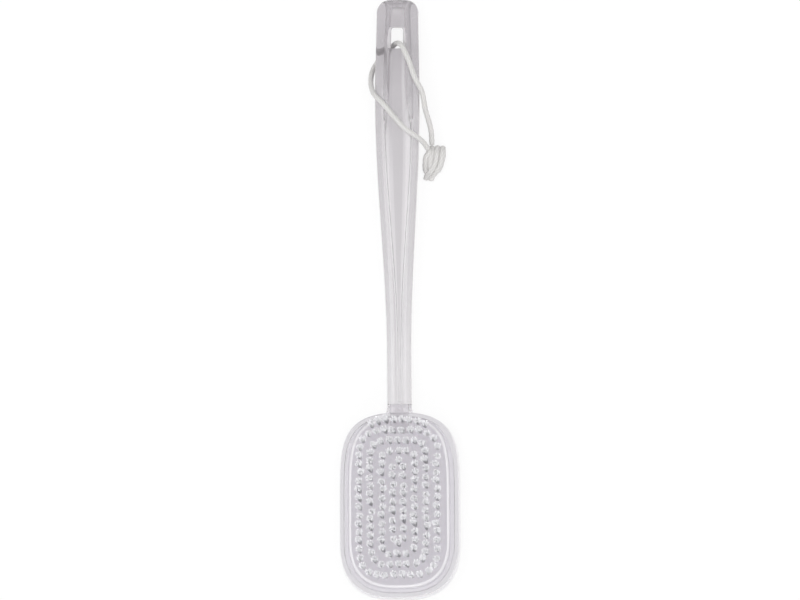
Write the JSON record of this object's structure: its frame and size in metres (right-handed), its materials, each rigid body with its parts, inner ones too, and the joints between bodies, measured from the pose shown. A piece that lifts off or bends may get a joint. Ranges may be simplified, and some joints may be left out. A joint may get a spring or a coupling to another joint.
{
  "type": "bath brush",
  "caption": "Clear long-handled bath brush with an oval bristle head, a handle that plugs into the head by a tongue, and a knotted hanging cord.",
  "frame": {"origin": "middle of the brush's length and width, on the surface that it lies on", "axes": "+Y from the head to the handle's tip, +Z the way the bristles point, +X to the right seen from the bristles with the handle up"},
  "size_m": [0.078, 0.39, 0.03],
  "materials": {
    "clear_plastic": "clear, polished",
    "white_nylon": "translucent nylon bristles",
    "white_cord": "braided"
  },
  "bodies": {
    "head": {"head_shell": "clear_plastic", "bristle_plate": "clear_plastic", "bristle_loop_1": "white_nylon", "bristle_loop_2": "white_nylon", "bristle_loop_3": "white_nylon", "bristle_loop_4": "white_nylon", "bristle_row": "white_nylon"},
    "handle": {"handle": "clear_plastic", "hanging_cord": "white_cord", "cord_knot": "white_cord"}
  },
  "joints": [
    {"name": "handle_pull", "type": "slide", "parent": "head", "child": "handle", "axis": [0, 1, 0], "range_m": [0, 0.018]}
  ]
}
